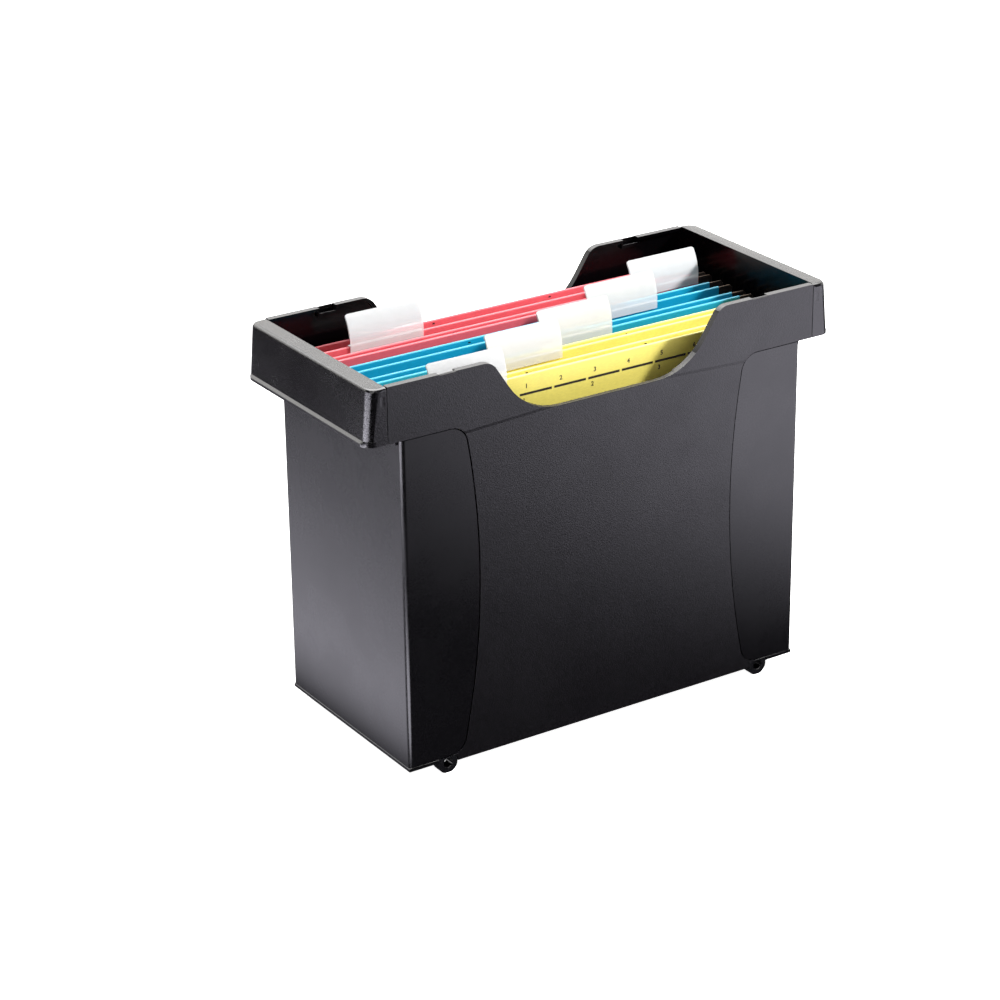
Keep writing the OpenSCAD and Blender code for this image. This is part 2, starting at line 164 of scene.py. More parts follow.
# Card, steel, clear tab, paper, ink
card = {
    "tones": {"red": (0.72, 0.11, 0.135), "blue": (0.006, 0.3, 0.49), "yellow": (0.86, 0.74, 0.165)},
    # the paler edge colours go on the fold crests and cut edges: partly wear, partly a painted highlight of
    # the light falling on the crests
    "edges": {"red": (0.76, 0.17, 0.2), "blue": (0.07, 0.43, 0.6), "yellow": (0.84, 0.76, 0.27)},
    "fibre": 1100, "fibreDepth": 0.00002, "fibreScale": (0.35, 1, 1),
    "fibreTone": [(0.3, 0.93), (0.68, 1.04)], "mottle": 60, "mottleTone": [(0.35, 0.95), (0.65, 1)],
    "roughness": (0.42, 0.56),
}


def cardMaterial(name, tone):
    material, tree, shader = newMaterial(name)
    coords = objectCoords(tree)
    along = objectCoords(tree, card["fibreScale"])
    fibres = noise(tree, along, card["fibre"], detail=4.0, roughness=0.65)
    mottle = noise(tree, coords, card["mottle"], detail=3.0, roughness=0.6)
    base = ramp(tree, fibres, [(place, shaded(tone, share)) for place, share in card["fibreTone"]])
    blush = ramp(tree, mottle, [(place, (share,) * 3) for place, share in card["mottleTone"]])
    mixed = addNode(tree, "ShaderNodeMix", {0: 1.0, 6: base, 7: blush}, data_type="RGBA",
                    blend_type="MULTIPLY")
    tree.links.new(mixed.outputs[2], shader.inputs["Base Color"])
    tree.links.new(remap(tree, mottle, *noiseSpan, *card["roughness"]), shader.inputs["Roughness"])
    tree.links.new(bump(tree, fibres, card["fibreDepth"]), shader.inputs["Normal"])
    return material


def flecked(name, tone, roughness, scale=300, spread=0.07, depth=0.000005, metallic=0.0, alpha=1.0):
    material, tree, shader = newMaterial(name)
    fleck = noise(tree, objectCoords(tree), scale, detail=3.0, roughness=0.6)
    stops = list(zip(noiseSpan, (shaded(tone, 1 - spread), tone)))
    tree.links.new(ramp(tree, fleck, stops), shader.inputs["Base Color"])
    tree.links.new(remap(tree, fleck, *noiseSpan, *roughness), shader.inputs["Roughness"])
    tree.links.new(bump(tree, fleck, depth), shader.inputs["Normal"])
    shader.inputs["Metallic"].default_value = metallic
    shader.inputs["Alpha"].default_value = alpha
    return material


cardFaces = {tone: cardMaterial(tone + "_card", color) for tone, color in card["tones"].items()}
# paler card for the crests and cut edges: wear and a painted highlight
cardEdgeWearAndSheen = {tone: cardMaterial(tone + "_card_edge_wear_and_sheen", color) for tone, color in card["edges"].items()}
barSteel = flecked("bar_steel", (0.022, 0.018, 0.017), (0.3, 0.42), 500, 0.3)
barUpFacing = flecked("bar_up_facing_brown", (0.16, 0.115, 0.085), (0.3, 0.45), 900, 0.4, metallic=0.6)
clearTab = flecked("clear_tab", (0.84, 0.845, 0.85), (0.1, 0.2), 160, 0.03, alpha=0.55)
labelPaper = flecked("label_paper", (0.76, 0.76, 0.765), (0.75, 0.85), 1500, 0.04, 0.00001)
blackInk = flecked("black_ink", (0.02, 0.017, 0.014), (0.5, 0.65), 2200, 0.35)
print("materials ready")


# Mesh helpers
def newPiece(name, mesh):
    piece = bpy.data.objects.new(name, mesh)
    scene.collection.objects.link(piece)
    return piece


def bake(piece):
    # modifiers end here: the piece keeps what they made as its own mesh
    mesh = bpy.data.meshes.new_from_object(piece.evaluated_get(bpy.context.evaluated_depsgraph_get()))
    piece.modifiers.clear()
    piece.data = mesh
    return piece


def roundEdges(piece, width, segments=3, angle=28):
    bevel = piece.modifiers.new("roundedEdges", "BEVEL")
    bevel.width = width
    bevel.segments = segments
    bevel.limit_method = "ANGLE"
    bevel.angle_limit = math.radians(angle)
    bevel.miter_outer = "MITER_ARC"


def roundRim(piece, width):
    # rounds only the outer edges of the tray, wider than its small corners inside would allow
    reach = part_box("base_tray")[1]
    weights = piece.data.attributes.new("bevel_weight_edge", "FLOAT", "EDGE")
    for edge in piece.data.edges:
        ends = [piece.data.vertices[k].co for k in edge.vertices]
        sides = [all(abs(abs(p[axis]) - reach[axis]) < close for p in ends) for axis in (0, 1)]
        level = abs(ends[0].z - ends[1].z) < close
        weights.data[edge.index].value = 1.0 if all(sides) or (any(sides) and level) else 0.0
    roundEdges(piece, width)
    piece.modifiers[-1].limit_method = "WEIGHT"


def keepFlatsFlat(piece, isCrease=None, sharpAngle=38, weight=60):
    # smooth shading round the edges without bending the light on the wide walls
    piece.data.set_sharp_from_angle(angle=math.radians(sharpAngle))
    for polygon in piece.data.polygons:
        polygon.use_smooth = True
    if isCrease:
        for edge in piece.data.edges:
            if isCrease(*(piece.data.vertices[k].co for k in edge.vertices)):
                edge.use_edge_sharp = True
    weighted = piece.modifiers.new("flatWalls", "WEIGHTED_NORMAL")
    weighted.mode = "FACE_AREA"
    weighted.weight = weight
    weighted.keep_sharp = True


def copyOfNode(node, name, flatAngle=0.6):
    mesh = frame["nodes"][node].data.copy()
    mesh.name = name
    mesh.materials.clear()
    work = bmesh.new()
    work.from_mesh(mesh)
    bmesh.ops.remove_doubles(work, verts=work.verts, dist=weld)
    bmesh.ops.dissolve_limit(work, angle_limit=math.radians(flatAngle), verts=work.verts, edges=work.edges,
                             use_dissolve_boundaries=False)
    work.to_mesh(mesh)
    work.free()
    return newPiece(name, mesh)


def finished(piece, body, slot, *nodes):
    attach(piece, body)
    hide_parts(*nodes)


# Moulded shell: the CAD solids with their edges rounded and the inside polished, with a darker tone there
# that is painted shade
mouldings = {
    "panel": {"materials": (texturedShell, polishedShadedInside), "round": 0.5 * mm, "slot": "textured_shell"},
    "end_panel": {"materials": (satinShell, polishedShadedInside), "round": 0.4 * mm, "slot": "satin_shell"},
    "tray": {"materials": (basePlastic, polishedShadedInside), "round": 0.6 * mm, "slot": "satin_shell"},
    "end_cap": {"materials": (capPlastic, polishedShadedInside), "round": 0.4 * mm, "slot": "textured_shell"},
    "foot": {"materials": (footPlastic,), "round": 0.7 * mm, "slot": "foot_plastic"},
}
shell = {
    "front_panel": "panel", "back_panel": "panel",
    "left_end_panel": "end_panel", "right_end_panel": "end_panel",
    "base_tray": "tray", "left_end_cap": "end_cap", "right_end_cap": "end_cap",
    "front_left_foot": "foot", "front_right_foot": "foot",
    "back_left_foot": "foot", "back_right_foot": "foot",
}
panelFace = abs(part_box("front_panel")[0].y)
seam = {
    "width": 0.9 * mm, "wingFrom": 0.3, "wingShare": 0.2, "behind": panelFace - 2.45 * mm, "tilt": 0.05,
    "endWall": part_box("base_tray")[1].x - 2.3 * mm, "floor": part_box("left_end_panel")[0].z + 0.1 * mm,
    "capEdge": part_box("front_panel")[1].x, "capWidth": 0.5 * mm, "capDepth": 3 * mm,
    "dimple": 0.55 * mm, "dimpleReach": 7 * mm, "dimpleShare": 0.35,
    "cornerRadii": (5 * mm, 6 * mm), "cornerGrowth": 1.44,
}
collar = {
    "step": 0.4 * mm, "slope": 2.2 * mm, "grip": (40 * mm, 256.4 * mm), "waist": (120.5 * mm, 252.8 * mm),
    "below": 258 * mm,
}
collar["fall"] = (collar["grip"][1] - collar["waist"][1]) / (collar["waist"][0] - collar["grip"][0])


def openSeams(piece):
    # the side returns stop short of the waisted panels and the wings, and the joint shows as a groove
    work = bmesh.new()
    work.from_mesh(piece.data)
    away = {}
    for face in work.faces:
        centre = face.calc_center_median()
        inSide = abs(centre.y) > seam["behind"] and abs(centre.x) < seam["endWall"]
        if inSide and abs(face.normal.y) < seam["tilt"] and centre.z > seam["floor"]:
            for corner in face.verts:
                away[corner] = away.get(corner, Vector()) + face.normal
    for corner, normal in away.items():
        normal.normalize()
        underWing = normal.z > seam["wingFrom"] and abs(corner.co.y) < seam["behind"]
        corner.co -= normal * seam["width"] * (seam["wingShare"] if underWing else 1.0)
    work.to_mesh(piece.data)
    work.free()


def openCapJoint(piece):
    # the cap stops a little short of the wing, and the dimple beside the joint is a shallow one
    for corner in piece.data.vertices:
        depth = panelFace - abs(corner.co.y)
        beyond = abs(corner.co.x) - seam["capEdge"]
        if abs(beyond) < close and depth < seam["capDepth"]:
            corner.co.x += math.copysign(seam["capWidth"], corner.co.x)
        if close < depth < seam["dimple"] and beyond < seam["dimpleReach"]:
            corner.co.y = math.copysign(panelFace - seam["dimpleShare"] * depth, corner.co.y)


def softenCorners(piece):
    # each ring of points round an upright corner of the cap grows about the sharp corner
    levels = {}
    for point in piece.data.vertices:
        levels.setdefault(round(point.co.z, 6), []).append(point.co)
    for ring in levels.values():
        side = max(abs(p.x) for p in ring)
        face = max(abs(p.y) for p in ring)
        for p in ring:
            u, v = side - abs(p.x), face - abs(p.y)
            onArc = any(max(u, v) < r + close and abs(math.hypot(r - u, r - v) - r) < 3 * close
                        for r in seam["cornerRadii"])
            if onArc:
                p.x = math.copysign(side - u * seam["cornerGrowth"], p.x)
                p.y = math.copysign(face - v * seam["cornerGrowth"], p.y)


def aboveCollar(point):
    # height above the line along which the collar ends
    return point.z - collar["grip"][1] + collar["fall"] * max(abs(point.x) - collar["grip"][0], 0)


def slopeCollar(piece):
    # the collar runs out in a soft slope down to the panel's face
    work = bmesh.new()
    work.from_mesh(piece.data)
    for corner in work.verts:
        if abs(corner.co.y) > panelFace - collar["step"] - close and corner.co.z < collar["below"]:
            corner.co.y = math.copysign(panelFace, corner.co.y)
    bmesh.ops.remove_doubles(work, verts=work.verts, dist=weld)
    for side in (-1, 1):
        for drop in (0, collar["slope"]):
            bmesh.ops.bisect_plane(work, geom=work.verts[:] + work.edges[:] + work.faces[:],
                                   plane_co=(side * collar["grip"][0], 0, collar["grip"][1] - drop),
                                   plane_no=(side * collar["fall"], 0, 1))
    for corner in work.verts:
        if abs(corner.co.y) > panelFace - close and corner.co.z < collar["below"]:
            share = min(max(-aboveCollar(corner.co) / collar["slope"], 0), 1)
            corner.co.y -= math.copysign(share * collar["step"], corner.co.y)
    work.to_mesh(piece.data)
    work.free()


def isCollarEdge(a, b):
    # the two lines between which the slope lies
    onFace = min(abs(a.y), abs(b.y)) > panelFace - collar["step"] - close
    rises = [aboveCollar(p) for p in (a, b)]
    onLines = [all(abs(rise + drop) < 2 * close for rise in rises) for drop in (0, collar["slope"])]
    return onFace and any(onLines)


inside = {"reach": (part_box("right_end_cap")[1].x - 5 * mm, panelFace - 1 * mm), "rimFrom": 0.7}


def insideOfBox(polygon):
    # walls that look into the box, but not the rims on top of them
    centre, normal = polygon.center, polygon.normal
    within = abs(centre.x) < inside["reach"][0] and abs(centre.y) < inside["reach"][1]
    looksIn = centre.x * normal.x + centre.y * normal.y <= 1e-6
    return within and looksIn and normal.z < inside["rimFrom"]


for node, kind in shell.items():
    settings = mouldings[kind]
    piece = copyOfNode(node, node + "_moulding")
    if kind == "panel":
        slopeCollar(piece)
    if kind == "end_panel":
        openSeams(piece)
    if kind == "end_cap":
        softenCorners(piece)
        openCapJoint(piece)
    if kind == "tray":
        roundRim(piece, settings["round"])
    else:
        roundEdges(piece, settings["round"])
    bake(piece)
    # rounding swells the caps' bead a few hundredths of a millimetre past the panels
    for point in piece.data.vertices:
        point.co.y = min(max(point.co.y, -panelFace), panelFace)
    piece.data.materials.clear()
    for material in settings["materials"]:
        piece.data.materials.append(material)
    keepFlatsFlat(piece, isCollarEdge if kind == "panel" else None)
    bake(piece)
    # walls that look into the box take the polished plastic with its painted shade
    if len(settings["materials"]) > 1:
        for polygon in piece.data.polygons:
            polygon.material_index = 1 if insideOfBox(polygon) else 0
    finished(piece, "box", settings["slot"], node)
    print("shell", node, len(piece.data.polygons))

# Suspension files: each leaf is one sheet of card, folded over its bar
files = ["red_rear", "red_front", "blue_rear", "blue_front", "yellow_rear", "yellow_front"]
leaf = {
    "card": 0.5 * mm, "foldRadius": 1.1 * mm, "foldGap": 0.3 * mm, "hemHeight": 14 * mm, "hemDepth": 2.2 * mm,
    "crestRadius": 0.55 * mm, "slotWidth": 2.2 * mm, "slotHeight": 1.2 * mm, "slotDrop": 2 * mm,
    "slots": {1: (-50 * mm, 50 * mm), -1: (-100 * mm, -50 * mm, 50 * mm, 100 * mm)},
    "slotRoom": 1 * mm, "rowStep": 22 * mm, "flapStep": 5 * mm, "columnStep": 10 * mm, "barInset": 0.6 * mm,
    "bow": 0.12 * mm, "bowAlong": 0.5, "waves": (31, 67, 40), "shortWave": 0.6, "rowMatch": 1e-7,
}
joints = {joint["name"]: joint for joint in frame["record"]["behaviour"]["joints"]}


def leafPlace(file, side):
    # from the upright drawing of a leaf to where it leans in the box, read off its bar
    hinge = Vector(joints[file + "_open"]["pos_m"])
    low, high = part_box(f"{file}_{'back' if side > 0 else 'front'}_bar")
    barPlace = (low + high) / 2 - hinge
    barOffset = side * (leaf["foldRadius"] - leaf["barInset"])
    barHeight = math.sqrt(barPlace.y ** 2 + barPlace.z ** 2 - barOffset ** 2)
    turn = math.atan2(barPlace.z, barPlace.y) - math.atan2(barHeight, barOffset)
    return Matrix.Translation(hinge) @ Matrix.Rotation(turn, 4, "X")


def drawnBox(node, place):
    back = place.inverted()
    points = [back @ vertex.co for vertex in frame["nodes"][node].data.vertices]
    return [Vector(pick(p[k] for p in points) for k in range(3)) for pick in (min, max)]


def spread(low, high, step):
    count = max(1, math.ceil(abs((high - low) / step)))
    return [low + (high - low) * k / count for k in range(count + 1)]


def arcPoints(y, z, radius, start, end, count):
    angles = [math.radians(start + (end - start) * k / count) for k in range(count + 1)]
    return [(y + radius * math.cos(a), z + radius * math.sin(a)) for a in angles]


def leafPath(top, withFold):
    # middle of the card, from the bottom fold up over the bar and down inside; True marks the crest
    half = leaf["card"] / 2
    outer = leaf["foldRadius"] + half
    inner = outer - leaf["hemDepth"] + leaf["card"]
    crest = leaf["crestRadius"]
    slotTop = top - leaf["slotDrop"]
    path = [(p, False) for p in arcPoints(0, 0, outer, 180, 350, 9)] if withFold else []
    foot = 0.0 if withFold else leaf["foldGap"]
    rows = spread(foot, top - leaf["hemHeight"], leaf["rowStep"]) + [slotTop]
    path += [((outer, z), False) for z in rows]
    path += [(p, True) for p in arcPoints(outer - crest, top - half - crest, crest, 0, 90, 4)]
    path += [(p, True) for p in arcPoints(inner + crest, top - half - crest, crest, 90, 180, 4)]
    flap = [slotTop] + spread(slotTop - leaf["slotHeight"], top - leaf["hemHeight"], -leaf["flapStep"])
    path += [((inner, z), False) for z in flap]
    return path


def leafColumns(reach, slots):
    marks = [x + k * leaf["slotWidth"] / 2 for x in slots for k in (-1, 1)]
    plain = spread(-reach, reach, leaf["columnStep"])
    return sorted([x for x in plain if all(abs(x - m) > leaf["slotRoom"] for m in marks)] + marks)


def isSlot(middle, upper, lower, top, slots):
    # slots go through the flap that is folded down inside
    across = any(abs(middle - x) < leaf["slotWidth"] / 2 for x in slots)
    inFlap = upper[0] < 0 and lower[0] < 0 and abs(upper[1] - top + leaf["slotDrop"]) < leaf["rowMatch"]
    return across and inFlap and abs(upper[1] - lower[1] - leaf["slotHeight"]) < leaf["rowMatch"]


def bow(x, z, top, phase):
    # the walls are never quite flat below the hem
    fade = math.sin(math.pi * min(max(z / (top - leaf["hemHeight"]), 0), 1))
    long, short, slant = leaf["waves"]
    ripple = leaf["shortWave"] * math.sin(x * short + z * slant + 2 * phase)
    return leaf["bow"] * fade * (math.sin(x * long + phase) + ripple)


def makeLeaf(file, side, index):
    part = "back" if side > 0 else "front"
    node = f"{file}_{part}_sheet"
    place = leafPlace(file, side)
    low, high = drawnBox(node, place)
    middle, reach, top = (low.x + high.x) / 2, (high.x - low.x) / 2, high.z
    path = leafPath(top, side > 0)
    slots = leaf["slots"][side]
    columns = leafColumns(reach, slots)
    work = bmesh.new()
    grid = []
    for (y, z), _ in path:
        shift = bow(middle, z, top, index)
        bent = [side * y + shift + bow(x, z, top, index) * leaf["bowAlong"] for x in columns]
        grid.append([work.verts.new(place @ Vector((middle + x, b, z))) for x, b in zip(columns, bent)])
    for r in range(len(path) - 1):
        for c in range(len(columns) - 1):
            if isSlot((columns[c] + columns[c + 1]) / 2, path[r][0], path[r + 1][0], top, slots):
                continue
            corners = [grid[r][c], grid[r][c + 1], grid[r + 1][c + 1], grid[r + 1][c]]
            face = work.faces.new(corners if side < 0 else corners[::-1])
            # the crest takes the paler card colour: wear and a painted highlight
            face.material_index = 1 if path[r][1] and path[r + 1][1] else 0
    mesh = bpy.data.meshes.new(node + "_folded")
    work.to_mesh(mesh)
    work.free()
    tone = file.split("_")[0]
    for material in (cardFaces[tone], cardEdgeWearAndSheen[tone]):
        mesh.materials.append(material)
    piece = newPiece(node + "_folded", mesh)
    wall = piece.modifiers.new("cardThickness", "SOLIDIFY")
    wall.thickness = leaf["card"]
    wall.offset = 0
    wall.use_even_offset = True
    wall.material_offset_rim = 1
    bake(piece)
    keepFlatsFlat(piece)
    bake(piece)
    body = f"{file}_file" if side > 0 else f"{file}_front_leaf"
    finished(piece, body, tone + "_card", node)


for index, file in enumerate(files):
    for side in (1, -1):
        makeLeaf(file, side, index + 0.4 * side)
print("leaves folded")

# Bars: thin steel, its upward faces a lighter brown
bar = {"round": 0.2 * mm, "segments": 2, "upFacingFrom": 0.5}
for file in files:
    for part, body in (("back", f"{file}_file"), ("front", f"{file}_front_leaf")):
        node = f"{file}_{part}_bar"
        piece = copyOfNode(node, node + "_steel")
        roundEdges(piece, bar["round"], bar["segments"])
        bake(piece)
        piece.data.materials.clear()
        for material in (barSteel, barUpFacing):
            piece.data.materials.append(material)
        keepFlatsFlat(piece)
        bake(piece)
        for polygon in piece.data.polygons:
            # faces that look upward take the lighter brown
            polygon.material_index = 1 if polygon.normal.z > bar["upFacingFrom"] else 0
        finished(piece, body, "bar_steel", node)
print("bars ready")


# Geometry Nodes helpers
def geometryTree(name, inputs):
    tree = bpy.data.node_groups.new(name, "GeometryNodeTree")
    for label, value in inputs.items():
        kind = "NodeSocketInt" if isinstance(value, int) else "NodeSocketFloat"
        socket = tree.interface.new_socket(name=label, in_out="INPUT", socket_type=kind)
        socket.default_value = value
    tree.interface.new_socket(name="Material", in_out="INPUT", socket_type="NodeSocketMaterial")
    tree.interface.new_socket(name="Geometry", in_out="OUTPUT", socket_type="NodeSocketGeometry")
    start = tree.nodes.new("NodeGroupInput")
    return tree, start.outputs


def endTree(tree, geometry, material):
    real = addNode(tree, "GeometryNodeRealizeInstances", {0: geometry})
    named = addNode(tree, "GeometryNodeSetMaterial", {"Geometry": real.outputs[0], "Material": material})
    finish = tree.nodes.new("NodeGroupOutput")
    tree.links.new(named.outputs[0], finish.inputs[0])


def grow(tree, name, values, material):
    # runs a tree with its named inputs and keeps the result as a plain mesh
    piece = newPiece(name, bpy.data.meshes.new(name))
    modifier = piece.modifiers.new(name, "NODES")
    modifier.node_group = tree
    for item in tree.interface.items_tree:
        if item.in_out == "INPUT" and item.name in values:
            modifier[item.identifier] = values[item.name]
        elif item.in_out == "INPUT" and item.name == "Material":
            modifier[item.identifier] = material
    return bake(piece)


def curvedSheetTree():
    # a sheet that stands straight below height 0 and curls back on a radius above it
    tree, inputs = geometryTree("curvedSheet", {"Length": 0.06, "Low": 0.0, "High": 0.023, "Radius": 0.034,
                                                "Depth": 0.0, "Wall": 0.0005, "Corner": 0.002})

    def calc(operation, a, b=0.0):
        return maths(tree, operation, a, b)

    grid = addNode(tree, "GeometryNodeMeshGrid", {"Size X": inputs["Length"], "Size Y": 1.0,
                                                  "Vertices X": 9, "Vertices Y": 57})
    split = addNode(tree, "ShaderNodeSeparateXYZ", {0: addNode(tree, "GeometryNodeInputPosition").outputs[0]})
    share = calc("ADD", split.outputs[1], 0.5)
    rise = calc("MULTIPLY", share, calc("SUBTRACT", inputs["High"], inputs["Low"]))
    along = calc("ADD", rise, inputs["Low"])
    angle = calc("DIVIDE", calc("MAXIMUM", along, 0.0), inputs["Radius"])
    radius = calc("SUBTRACT", inputs["Radius"], inputs["Depth"])
    back = calc("SUBTRACT", inputs["Radius"], calc("MULTIPLY", radius, calc("COSINE", angle)))
    up = calc("ADD", calc("MULTIPLY", radius, calc("SINE", angle)), calc("MINIMUM", along, 0.0))
    # its top corners are rounded: up there the sheet grows narrower
    near = calc("SUBTRACT", along, calc("SUBTRACT", inputs["High"], inputs["Corner"]))
    over = calc("MINIMUM", calc("MAXIMUM", near, 0.0), inputs["Corner"])
    square = calc("SUBTRACT", calc("POWER", inputs["Corner"], 2.0), calc("POWER", over, 2.0))
    inset = calc("SUBTRACT", inputs["Corner"], calc("SQRT", calc("MAXIMUM", square, 0.0)))
    lost = calc("DIVIDE", calc("MULTIPLY", inset, 2.0), inputs["Length"])
    across = calc("MULTIPLY", split.outputs[0], calc("SUBTRACT", 1.0, lost))
    place = addNode(tree, "ShaderNodeCombineXYZ", {0: across, 1: back, 2: up})
    curved = addNode(tree, "GeometryNodeSetPosition", {"Geometry": grid.outputs[0],
                                                       "Position": place.outputs[0]})
    thick = addNode(tree, "GeometryNodeExtrudeMesh", {
        "Mesh": curved.outputs[0], "Offset Scale": inputs["Wall"], "Individual": False})
    under = addNode(tree, "GeometryNodeFlipFaces", {0: curved.outputs[0]})
    both = addNode(tree, "GeometryNodeJoinGeometry")
    tree.links.new(thick.outputs[0], both.inputs[0])
    tree.links.new(under.outputs[0], both.inputs[0])
    closed = addNode(tree, "GeometryNodeMergeByDistance", {"Geometry": both.outputs[0], "Distance": weld})
    endTree(tree, closed.outputs[0], inputs["Material"])
    return tree


def rowTree():
    # a row of short printed strokes along X
    tree, inputs = geometryTree("strokeRow", {"Count": 6, "Pitch": 0.0285, "Stroke": 0.026, "Height": 0.0013,
                                              "Thickness": 0.00003})
    size = addNode(tree, "ShaderNodeCombineXYZ", {0: inputs["Stroke"], 1: inputs["Thickness"],
                                                  2: inputs["Height"]})
    step = addNode(tree, "ShaderNodeCombineXYZ", {0: inputs["Pitch"]})
    points = addNode(tree, "GeometryNodeMeshLine", {"Count": inputs["Count"], "Offset": step.outputs[0]})
    stroke = addNode(tree, "GeometryNodeMeshCube", {"Size": size.outputs[0]})
    row = addNode(tree, "GeometryNodeInstanceOnPoints", {"Points": points.outputs[0],
                                                         "Instance": stroke.outputs[0]})
    endTree(tree, row.outputs[0], inputs["Material"])
    return tree


def joinMeshes(name, pieces):
    work = bmesh.new()
    for piece in pieces:
        work.from_mesh(piece.data)
    mesh = bpy.data.meshes.new(name)
    work.to_mesh(mesh)
    work.free()
    for material in pieces[0].data.materials:
        mesh.materials.append(material)
    for piece in pieces:
        bpy.data.objects.remove(piece)
    return newPiece(name, mesh)


# Tabs: a clear curved sleeve with a clip under it, and a white label inside
tab = {
    "height": 23 * mm, "radius": 34 * mm, "wall": 0.5 * mm, "corner": 2 * mm, "fit": 0.1 * mm,
    "label": 0.3 * mm, "labelLift": 6.5 * mm, "labelShorter": 2 * mm, "labelCorner": 0.3 * mm,
}
sheetTree = curvedSheetTree()


def clipPiece(length, foot):
    # a bridge over the hem, with a short leg behind it
    back = leaf["hemDepth"] + 2 * tab["fit"] + 2 * tab["wall"]
    inner = back - tab["wall"]
    outline = [(tab["wall"], 0), (back, 0), (back, foot), (inner, foot), (inner, -tab["wall"]),
               (tab["wall"], -tab["wall"])]
    work = bmesh.new()
    ends = [[work.verts.new((x, y, z)) for y, z in outline] for x in (-length / 2, length / 2)]
    work.faces.new(ends[0][::-1])
    work.faces.new(ends[1])
    for k in range(len(outline)):
        n = (k + 1) % len(outline)
        work.faces.new((ends[0][k], ends[0][n], ends[1][n], ends[1][k]))
    bmesh.ops.recalc_face_normals(work, faces=work.faces)
    mesh = bpy.data.meshes.new("clip")
    work.to_mesh(mesh)
    work.free()
    return newPiece("clip", mesh)


def seatOnLeaf(piece, base, file, slot, node):
    piece.data.transform(base)
    keepFlatsFlat(piece)
    bake(piece)
    finished(piece, file + "_front_leaf", slot, node)


def makeTab(file):
    place = leafPlace(file, -1)
    low, high = drawnBox(file + "_tab", place)
    seat = drawnBox(file + "_front_sheet", place)[1].z + tab["fit"] + tab["wall"]
    base = place @ Matrix.Translation(((low.x + high.x) / 2, low.y, seat))
    length, foot = high.x - low.x, low.z - seat
    sleeve = tab["wall"] + tab["label"] + tab["fit"]
    common = {"Length": length, "Radius": tab["radius"], "Wall": tab["wall"], "Corner": tab["corner"]}
    face = grow(sheetTree, "face", {**common, "Low": foot, "High": tab["height"], "Depth": 0.0}, clearTab)
    lining = grow(sheetTree, "lining", {**common, "Low": tab["labelLift"] - tab["wall"],
                                        "High": tab["height"], "Depth": sleeve}, clearTab)
    piece = joinMeshes(file + "_tab_clear", [face, lining, clipPiece(length, foot)])
    seatOnLeaf(piece, base, file, "clear_tab", file + "_tab")
    paper = grow(sheetTree, file + "_label_paper", {
        "Length": length - tab["labelShorter"], "Radius": tab["radius"], "Wall": tab["label"],
        "Corner": tab["labelCorner"], "Low": tab["labelLift"] + tab["fit"],
        "High": tab["height"] - tab["wall"] - tab["fit"], "Depth": tab["wall"] + tab["fit"] / 2}, labelPaper)
    seatOnLeaf(paper, base, file, "label_paper", file + "_label")


for file in files:
    makeTab(file)
print("tabs ready")

# Printed scale on the front leaf of the foremost file: a broken line with plain numbers
scale = {
    "file": "yellow_front", "start": -61 * mm, "pitch": 28.4 * mm, "stroke": 26.4 * mm, "count": 6,
    "lineHeight": 1.75 * mm, "drop": 14 * mm, "ink": 0.03 * mm, "lift": 0.01 * mm, "digit": 4.6 * mm,
    "bold": 0.12 * mm, "digitIn": 5.5 * mm, "above": 4.2 * mm, "below": 6.2 * mm, "belowShift": -2 * mm,
}


def digitMesh(text, x, z):
    curve = bpy.data.curves.new("digit", "FONT")
    curve.body = text
    curve.size = scale["digit"]
    curve.extrude = scale["ink"] / 2
    curve.offset = scale["bold"]
    curve.align_x = "CENTER"
    holder = newPiece("digit", curve)
    mesh = bpy.data.meshes.new_from_object(holder.evaluated_get(bpy.context.evaluated_depsgraph_get()))
    bpy.data.objects.remove(holder)
    mesh.transform(Matrix.Translation((x, 0, z)) @ Matrix.Rotation(math.radians(90), 4, "X"))
    mesh.materials.clear()
    mesh.materials.append(blackInk)
    return newPiece("digit", mesh)


def printScale():
    file = scale["file"]
    place = leafPlace(file, -1)
    low, high = drawnBox(file + "_front_sheet", place)
    lineZ = high.z - scale["drop"]
    skin = place @ Matrix.Translation((0, low.y - scale["ink"] / 2 - scale["lift"], 0))
    line = grow(rowTree(), "scale_line", {
        "Count": scale["count"], "Pitch": scale["pitch"], "Stroke": scale["stroke"],
        "Height": scale["lineHeight"], "Thickness": scale["ink"]}, blackInk)
    line.data.transform(skin @ Matrix.Translation((scale["start"] + scale["stroke"] / 2, 0, lineZ)))
    digits = []
    for k in range(scale["count"]):
        x = scale["start"] + scale["digitIn"] + k * scale["pitch"]
        digits.append(digitMesh(str(k + 1), x, lineZ + scale["above"]))
        if k % 2 == 0:
            digits.append(digitMesh(str(k // 2 + 1), x + scale["belowShift"], lineZ - scale["below"]))
    numbers = joinMeshes("scale_numbers", digits)
    numbers.data.transform(skin)
    for piece in (line, numbers):
        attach(piece, file + "_front_leaf")


printScale()
print("scale printed")

# Floor, light, camera
studio = {
    "reach": 6.0, "floorTone": 0.9, "floorLift": 1.0, "fill": 0.45, "tint": (1, 0.985, 0.96, 1),
    "wall": 2.85, "wallBase": 0.06, "wallAt": (0.54, 0.84, 0.0), "wallFrom": (-0.2, 0.9),
    "wallTop": (0.9, 0.35), "ceiling": 8.0, "ceilingFrom": (0.6, 0.8), "strip": 3.0,
    "stripAt": (-0.57, 0.78, 0.24), "stripFrom": (0.87, 0.97),
}


def stagePlane(name, reach, height):
    mesh = bpy.data.meshes.new(name)
    mesh.from_pydata([(-reach, -reach, height), (reach, -reach, height), (reach, reach, height),
                      (-reach, reach, height)], [], [(0, 1, 2, 3)])
    plane = newPiece(name, mesh)
    return plane


